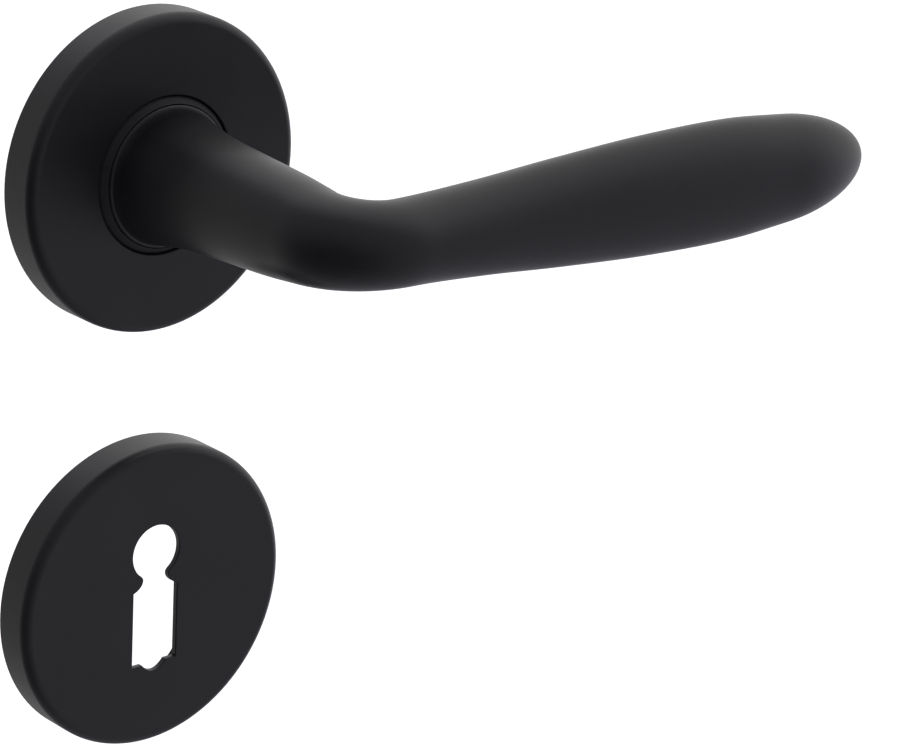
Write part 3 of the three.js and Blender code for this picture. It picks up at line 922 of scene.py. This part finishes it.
def windowOutline(grow):
    half, corner = keyWindow["half"] + grow, keyWindow["corner"] + grow
    top, bottom = keyWindow["top"] + grow, keyWindow["bottom"] - grow
    middles = ((half - corner, top - corner, 0), (corner - half, top - corner, 90),
               (corner - half, bottom + corner, 180), (half - corner, bottom + corner, 270))
    points = []
    for x, z, start in middles:
        for i in range(keyWindow["cornerSteps"] + 1):
            point = polar(corner, start + 90 * i / keyWindow["cornerSteps"])
            points.append((x + point.x, z + point.z))
    return points


def makeEscutcheonBase():
    walls = [plateFrom(windowOutline(keyWindow["wall"]), keyWindow["front"], base["root"])]
    walls += [rib(inner, degrees) for inner, angles in keyWindow["ribs"] for degrees in angles]
    bm = join(baseDish(), walls + screwBosses())
    holes = [plateFrom(windowOutline(0), -9, 9)] + screwHoles()
    bm = cut(bm, holes + pinMarks(keyWindow["pinCircle"], keyWindow["pins"]))
    shifted(bm, z=-escutcheonDrop)
    makePiece(bm, "escutcheonBase", nylonFinish, doorBody, ["escutcheon_base"])


makeGuideRing()
makeRoseBase()
makeEscutcheonBase()
print("bases made")

snapRing = {"radius": 24.2, "wire": 0.45, "y": -2.3, "split": 12, "endEdge": 0.12, "sides": 14, "steps": 150}


def wireCircle(radius, across, depth, sides):
    # a filled circle, the cut end of a wire
    bm = bmesh.new()
    place = Matrix.Translation(Vector((across, depth, 0)) * mm)
    bmesh.ops.create_circle(bm, cap_ends=True, radius=radius * mm, segments=sides, matrix=place)
    return bm


def sweep(bm, angle, steps, rise=0.0):
    # turns a face about the y axis into a closed bar that may climb along it
    bmesh.ops.spin(bm, geom=bm.verts[:] + bm.edges[:] + bm.faces[:], cent=(0, 0, 0), axis=(0, -1, 0),
                   dvec=(0, rise / steps * mm, 0), angle=angle, steps=steps, use_merge=False)
    tidyMesh(bm)
    return bm


def makeSnapRing(name, node, drop):
    ring = snapRing
    bm = turned(wireCircle(ring["wire"], ring["radius"], ring["y"], ring["sides"]), ring["split"] / 2)
    sweep(bm, math.radians(360 - ring["split"]), ring["steps"])
    softenEdges(bm, ring["endEdge"])
    shifted(bm, z=-drop)
    makePiece(bm, name, springFinish, doorBody, [node], weighted=False)


spring = {
    "circle": 13.5,      # the coil's middle is bent to this radius
    "coil": 0.8,
    "wire": 0.25,
    "turns": 7,
    "y": -2.55,
    "from": -3,          # degrees from the fixed seat
    "to": 84,
    "endEdge": 0.07,
    "sides": 12,
    "stepsPerTurn": 28,
}


def makeReturnSpring(name, node, start):
    circle = spring["circle"]
    length = circle * math.radians(spring["to"] - spring["from"])
    bm = wireCircle(spring["wire"], spring["coil"], 0, spring["sides"])
    sweep(bm, fullTurn * spring["turns"], spring["turns"] * spring["stepsPerTurn"], length)
    softenEdges(bm, spring["endEdge"])
    for vert in bm.verts:  # the straight coil is bent round the hub
        across, along, depth = vert.co / mm
        degrees = start + spring["from"] + math.degrees(along / circle)
        vert.co = polar(circle + across, degrees, spring["y"] + depth) * mm
    tidyMesh(bm)
    piece = makePiece(bm, name, springFinish, None, [node], weighted=False)
    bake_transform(piece)


makeSnapRing("roseSnapRing", "rose_snap_ring", 0)
makeSnapRing("escutcheonSnapRing", "escutcheon_snap_ring", escutcheonDrop)
makeReturnSpring("returnSpringUpper", "return_spring_upper", 0)
makeReturnSpring("returnSpringLower", "return_spring_lower", 180)
print("rings and springs made")


def threadRidge(root, crest, pitch, start, end, half, stepsPerTurn=24):
    # a helical ridge along the y axis; a crest smaller than the root makes an inner thread
    turns = (end - start) / pitch
    bm = bmesh.new()
    corners = [(root, start - half), (crest, start), (root, start + half)]
    bm.faces.new([bm.verts.new((x * mm, y * mm, 0)) for x, y in corners])
    return sweep(bm, fullTurn * turns, round(turns * stepsPerTurn), end - start)


woodScrew = {
    "head": 3.4,
    "headEdge": 0.12,
    "rim": 0.3,
    "headDepth": 2.1,
    "shank": 1.5,
    "plain": 2.6,            # plain stretch under the head
    "neckEdge": 0.3,
    "core": 1.12,
    "coreStart": 0.5,        # length over which the shank narrows
    "coreEdge": 0.1,
    "crest": 1.62,
    "pitch": 1.3,
    "ridge": 0.42,           # half width of the thread at its root
    "ridgeRoot": 0.15,       # how deep the thread starts in the core
    "ridgeStart": 0.6,
    "ridgeEnd": 0.7,
    "point": 3.4,
    "leastTaper": 0.12,
    "recess": 1.9,           # how far the cross for the driver reaches
    "recessHalf": 0.42,
    "recessDepth": 1.5,
    "recessTaper": (0.35, 0.6),
    "crossTurn": {"right": 20, "left": 65},  # each stopped at its own angle
}


def taperPoint(bm, tip, start, least):
    for vert in bm.verts:
        share = min(max((tip - vert.co.y / mm) / (tip - start), least), 1)
        vert.co.x *= share
        vert.co.z *= share


def crossRecess(front):
    reach, half = woodScrew["recess"], woodScrew["recessHalf"]
    tools = []
    for degrees in (0, 90):
        blade = block((-reach, front - 0.5, -half), (reach, front + woodScrew["recessDepth"], half))
        for vert in blade.verts:
            if vert.co.y > front * mm:
                vert.co.x *= woodScrew["recessTaper"][0]
                vert.co.z *= woodScrew["recessTaper"][1]
        tools.append(turned(blade, degrees))
    return tools


def makeWoodScrew(name, node, side, drop):
    screw = woodScrew
    low, high = nodeSpan(node)
    front, tip = low.y, high.y
    neck = front + screw["headDepth"]
    coreFront = neck + screw["plain"]
    body = spunSolid([(0, front),
                      (screw["head"], front, screw["headEdge"]),
                      (screw["head"], front + screw["rim"]),
                      (screw["shank"], neck, screw["neckEdge"]),
                      (screw["shank"], coreFront, screw["coreEdge"]),
                      (screw["core"], coreFront + screw["coreStart"], screw["coreEdge"]),
                      (screw["core"], tip - screw["point"]),
                      (0, tip)], 48)
    ridge = threadRidge(screw["core"] - screw["ridgeRoot"], screw["crest"], screw["pitch"],
                        coreFront + screw["ridgeStart"], tip - screw["ridgeEnd"], screw["ridge"])
    taperPoint(ridge, tip, tip - screw["point"], screw["leastTaper"])
    bm = cut(join(body, [ridge]), crossRecess(front))
    turned(bm, screw["crossTurn"][side])
    shifted(atCircle(bm, fixings["screwCircle"], fixings["screws"][side]), z=-drop)
    makePiece(bm, name, zincFinish, doorBody, [node])


sleeve = {
    "bore": 1.7,
    "spigot": 2.1,
    "radius": 3.4,
    "front": -3.9,
    "step": 0.3,
    "end": 7,
    "grip": 0.22,            # depth of the band round the outside
    "gripFront": 2.2,
    "gripBack": 5.3,
    "gripSlope": 0.3,
    "edges": {"bore": 0.1, "spigot": 0.15, "step": 0.2, "grip": 0.05, "end": 0.35, "boreEnd": 0.3},
    "crest": 1.42,
    "pitch": 0.7,
    "ridge": 0.3,
    "ridgeRoot": 0.12,
    "ridgeStart": 0.9,
    "ridgeEnd": 0.7,
}


def makeBoltSleeve(name, node, degrees):
    edges, radius, gripRadius = sleeve["edges"], sleeve["radius"], sleeve["radius"] - sleeve["grip"]
    body = spunSolid([(sleeve["bore"], sleeve["front"], edges["bore"]),
                      (sleeve["spigot"], sleeve["front"], edges["spigot"]),
                      (sleeve["spigot"], sleeve["step"]),
                      (radius, sleeve["step"], edges["step"]),
                      (radius, sleeve["gripFront"], edges["grip"]),
                      (gripRadius, sleeve["gripFront"] + sleeve["gripSlope"], edges["grip"]),
                      (gripRadius, sleeve["gripBack"] - sleeve["gripSlope"], edges["grip"]),
                      (radius, sleeve["gripBack"], edges["grip"]),
                      (radius, sleeve["end"], edges["end"]),
                      (sleeve["bore"], sleeve["end"], edges["boreEnd"])], 64)
    ridge = threadRidge(sleeve["bore"] + sleeve["ridgeRoot"], sleeve["crest"], sleeve["pitch"],
                        sleeve["front"] + sleeve["ridgeStart"], sleeve["end"] - sleeve["ridgeEnd"],
                        sleeve["ridge"])
    bm = atCircle(join(body, [ridge]), fixings["sleeveCircle"], degrees)
    makePiece(bm, name, zincFinish, doorBody, [node])


for side in fixings["screws"]:
    makeWoodScrew("roseScrew" + side.title(), "rose_screw_" + side, side, 0)
    makeWoodScrew("escutcheonScrew" + side.title(), "escutcheon_screw_" + side, side, escutcheonDrop)
for side, degrees in fixings["sleeves"].items():
    makeBoltSleeve("boltSleeve" + side.title(), "bolt_sleeve_" + side, degrees)
print("screws and sleeves made")

bar = {"corner": 0.5, "endChamfer": 0.4, "sharpAngle": 25}


def makeSpindle():
    bm = block(*nodeSpan("square_spindle"))
    long = [edge for edge in bm.edges if abs((edge.verts[0].co - edge.verts[1].co).y) > mm]
    bmesh.ops.bevel(bm, geom=long, offset=bar["corner"] * mm, segments=3, profile=0.5, affect="EDGES",
                    material=-1)
    ends = [edge for edge in bm.edges if abs((edge.verts[0].co - edge.verts[1].co).y) < mm / 10]
    bmesh.ops.bevel(bm, geom=ends, offset=bar["endChamfer"] * mm, segments=1, profile=0.5, affect="EDGES",
                    material=-1)
    makePiece(bm, "squareSpindle", zincFinish, leverBody, ["square_spindle"],
              bar["sharpAngle"])


grub = {
    "core": 2.52,
    "crest": 2.85,
    "pitch": 0.8,
    "cup": 1.2,              # the cupped point that bites the spindle
    "cupDepth": 0.5,
    "pointChamfer": 0.4,
    "pointEdge": 0.1,
    "endChamfer": 0.3,
    "ridge": 0.36,
    "ridgeRoot": 0.15,
    "ridgeStart": 0.75,
    "ridgeEnd": 0.5,
    "socket": 1.5,           # across the corners of the hexagon, halved
    "socketDepth": 2.6,
}


def makeGrubScrew():
    low, high = nodeSpan("grub_screw")
    length, core = high.z - low.z, grub["core"]
    body = spunSolid([(0, grub["cupDepth"]),
                      (grub["cup"], 0, grub["pointEdge"]),
                      (core - grub["pointChamfer"], 0, grub["pointEdge"]),
                      (core, grub["cupDepth"]),
                      (core, length - grub["endChamfer"]),
                      (core - grub["endChamfer"], length),
                      (0, length)], 48)
    ridge = threadRidge(core - grub["ridgeRoot"], grub["crest"], grub["pitch"], grub["ridgeStart"],
                        length - grub["ridgeEnd"], grub["ridge"])
    hexagon = disc(grub["socket"], length - grub["socketDepth"], length + 1, 6)
    bm = pointedDown(cut(join(body, [ridge]), [hexagon]))
    shifted(bm, y=(low.y + high.y) / 2, z=high.z)
    makePiece(bm, "grubScrew", springFinish, leverBody, ["grub_screw"])


driver = {
    "front": -4.9,
    "frontEdge": 0.2,
    "back": -4.1,
    "backEdge": 0.1,
    "outer": 14.6,
    "bore": 8.3,
    "flat": 7.3,
    "tabInner": 12.4,
    "tabHalf": 1,
    "tabFront": -4.6,        # inside the plate
    "tabBack": -1.5,
    "slotHalf": 1.1,
    "steps": 96,
}


def makeSpringDriver():
    front, back, half = driver["front"], driver["back"], driver["tabHalf"]
    plate = spunSolid([(0, front), (driver["outer"], front, driver["frontEdge"]),
                       (driver["outer"], back, driver["backEdge"]), (0, back)], driver["steps"])
    tabs = [turned(block((driver["tabInner"], driver["tabFront"], -half),
                         (driver["outer"], driver["tabBack"], half)), degrees) for degrees in rose["tabs"]]
    flats = combine(disc(driver["bore"], front - 1, back + 1, driver["steps"]),
                    [block((-driver["flat"], front - 2, -10), (driver["flat"], back + 2, 10))], "INTERSECT")
    slotHalf, travel = driver["slotHalf"], leverJoint["range_deg"][1]
    slotEnd = math.degrees(slotHalf / rose["pegCircle"])
    slots = [ringPart(rose["pegCircle"] - slotHalf, rose["pegCircle"] + slotHalf, front - 1, back + 1,
                      degrees - slotEnd, degrees + travel + slotEnd) for degrees in rose["pegs"]]
    bm = cut(join(plate, tabs), [flats] + slots)
    makePiece(bm, "springDriver", zincFinish, leverBody, ["spring_driver"])


clip = {
    "inner": 7.3,
    "outer": 9.4,
    "front": 5.7,
    "back": 6.5,
    "edge": 0.12,
    "innerEdge": 0.1,
    "ear": 1.5,
    "earAngle": 11,
    "earHole": 0.68,
}


def makeRetainingClip():
    front, back = clip["front"], clip["back"]
    band = spunSolid([(clip["inner"], front, clip["innerEdge"]),
                      (clip["outer"], front, clip["edge"]),
                      (clip["outer"], back, clip["edge"]),
                      (clip["inner"], back, clip["innerEdge"])], 90,
                     360 - 2 * clip["earAngle"], 90 + clip["earAngle"])
    ears, cuts = [], [disc(clip["inner"], front - 1, back + 1, 96)]
    for side in (-1, 1):
        circle, degrees = clip["inner"] + clip["ear"], 90 + side * clip["earAngle"]
        ear = spunSolid([(0, front), (clip["ear"], front, clip["edge"]),
                         (clip["ear"], back, clip["edge"]), (0, back)], 40)
        ears.append(atCircle(ear, circle, degrees))
        cuts.append(atCircle(disc(clip["earHole"], front - 1, back + 1, 24), circle, degrees))
    bm = cut(join(band, ears), cuts)
    makePiece(bm, "retainingClip", springFinish, leverBody, ["retaining_clip"])


washer = {"edge": 0.12, "boreEdge": 0.1}


def makeThrustWasher():
    low, high = nodeSpan("thrust_washer")
    outer = (high.x - low.x) / 2
    bm = spunSolid([(rose["bore"], low.y, washer["boreEdge"]), (outer, low.y, washer["edge"]),
                    (outer, high.y, washer["edge"]), (rose["bore"], high.y, washer["boreEdge"])], 96)
    makePiece(bm, "thrustWasher", acetalFinish, doorBody, ["thrust_washer"])


makeSpindle()
makeGrubScrew()
makeSpringDriver()
makeRetainingClip()
makeThrustWasher()
print("turning parts made")

viewpoint = {
    "place": (-0.353838, -0.465063, 0.180100),  # metres
    "yaw": -42.249,          # degrees to the left of straight at the door
    "pitch": -20.040,
    "roll": 3.0,
    "lens": 153.97,
    "sensor": 36,
    "nearest": 0.01,
}


def makeCamera():
    yaw, pitch, roll = (math.radians(viewpoint[name]) for name in ("yaw", "pitch", "roll"))
    forward = Vector((-math.sin(yaw) * math.cos(pitch), math.cos(yaw) * math.cos(pitch), math.sin(pitch)))
    right = Vector((math.cos(yaw), math.sin(yaw), 0))
    up = right.cross(forward)
    right, up = (math.cos(roll) * right + math.sin(roll) * up, math.cos(roll) * up - math.sin(roll) * right)
    data = bpy.data.cameras.new("camera")
    data.lens = viewpoint["lens"]
    data.sensor_width = viewpoint["sensor"]
    data.clip_start = viewpoint["nearest"]
    camera = bpy.data.objects.new("camera", data)
    turn = Matrix((right, up, -forward)).transposed().to_4x4()
    camera.matrix_world = Matrix.Translation(viewpoint["place"]) @ turn
    scene.collection.objects.link(camera)
    scene.camera = camera


studio = {
    "darkSide": (-0.826, -0.334, -0.454),  # the unlit end of the room
    # how bright the room is, from straight away from the dark end to straight at it
    "levels": [(0.0, 1.05), (0.21, 1.05), (0.35, 0.24), (0.50, 0.42), (0.66, 0.32), (0.80, 0.23),
               (0.94, 0.02)],
    "tint": (0.97, 0.97, 1.08),
    "behind": 0.5,           # least brightness of the wall behind the door
    "behindFrom": 0.1,       # where it begins and is whole, by the direction's y
    "behindTo": 0.8,
    "backdrop": 1.05,        # what the camera sees past the object
    "floorDrop": 0.35,
    "floorSize": 12.0,
    "floorColour": (0.92, 0.92, 0.92, 1),
    "floorRoughness": 0.9,
    "floorSpecular": 0.1,
    "floorGlow": 0.6,
}


def makeWorld():
    world = bpy.data.worlds.new("studio")
    scene.world = world
    world.use_nodes = True
    tree = world.node_tree
    tree.nodes.clear()
    output = addNode(tree, "ShaderNodeOutputWorld", 900, 0)
    place = addNode(tree, "ShaderNodeTexCoord", -600, 0).outputs["Generated"]
    facing = addNode(tree, "ShaderNodeVectorMath", -400, 0, operation="DOT_PRODUCT")
    facing.inputs[1].default_value = Vector(studio["darkSide"]).normalized()
    tree.links.new(place, facing.inputs[0])
    ramp = addNode(tree, "ShaderNodeValToRGB", -160, 0)
    ramp.color_ramp.interpolation = "B_SPLINE"
    share = useRange(tree, -300, 200, facing.outputs["Value"], -1, 1, 0, 1, False)
    tree.links.new(share, ramp.inputs["Fac"])
    stops, levels = ramp.color_ramp.elements, studio["levels"]
    stops[0].position, stops[1].position = levels[0][0], levels[-1][0]
    for position, level in levels[1:-1]:
        stops.new(position)
    for stop, (position, level) in zip(stops, levels):
        stop.color = (*(level * part for part in studio["tint"]), 1)
    parts = addNode(tree, "ShaderNodeSeparateXYZ", -400, -260)
    tree.links.new(place, parts.inputs[0])
    behind = useRange(tree, -160, -260, parts.outputs["Y"], studio["behindFrom"], studio["behindTo"],
                      0, studio["behind"])
    brighter = addNode(tree, "ShaderNodeMix", 120, 60, data_type="RGBA", blend_type="LIGHTEN")
    brighter.inputs[0].default_value = 1
    tree.links.new(ramp.outputs["Color"], brighter.inputs[6])
    tree.links.new(behind, brighter.inputs[7])
    light = addNode(tree, "ShaderNodeBackground", 300, 100)
    tree.links.new(brighter.outputs[2], light.inputs["Color"])
    plain = addNode(tree, "ShaderNodeBackground", 300, -100)
    plain.inputs["Color"].default_value = (1, 1, 1, 1)
    plain.inputs["Strength"].default_value = studio["backdrop"]
    path = addNode(tree, "ShaderNodeLightPath", 60, 300)
    pick = addNode(tree, "ShaderNodeMixShader", 600, 0)
    tree.links.new(path.outputs["Is Camera Ray"], pick.inputs["Fac"])
    tree.links.new(light.outputs["Background"], pick.inputs[1])
    tree.links.new(plain.outputs["Background"], pick.inputs[2])
    tree.links.new(pick.outputs["Shader"], output.inputs["Surface"])


def makeFloor():
    bm = bmesh.new()
    bmesh.ops.create_grid(bm, x_segments=1, y_segments=1, size=studio["floorSize"] / 2)
    bmesh.ops.translate(bm, verts=bm.verts, vec=(0, 0, -studio["floorDrop"]))
    mesh = bpy.data.meshes.new("floor")
    bm.to_mesh(mesh)
    bm.free()
    floor = bpy.data.objects.new("floor", mesh)
    scene.collection.objects.link(floor)
    material, _, shader, _ = startMaterial("pale_floor")
    shader.inputs["Base Color"].default_value = studio["floorColour"]
    shader.inputs["Roughness"].default_value = studio["floorRoughness"]
    shader.inputs["Specular IOR Level"].default_value = studio["floorSpecular"]
    shader.inputs["Emission Color"].default_value = (1, 1, 1, 1)
    shader.inputs["Emission Strength"].default_value = studio["floorGlow"]
    mesh.materials.append(material)
    floor.visible_glossy = False


makeCamera()
makeWorld()
makeFloor()
scene.view_settings.view_transform = "Standard"
print("studio made")

print("scene ready")
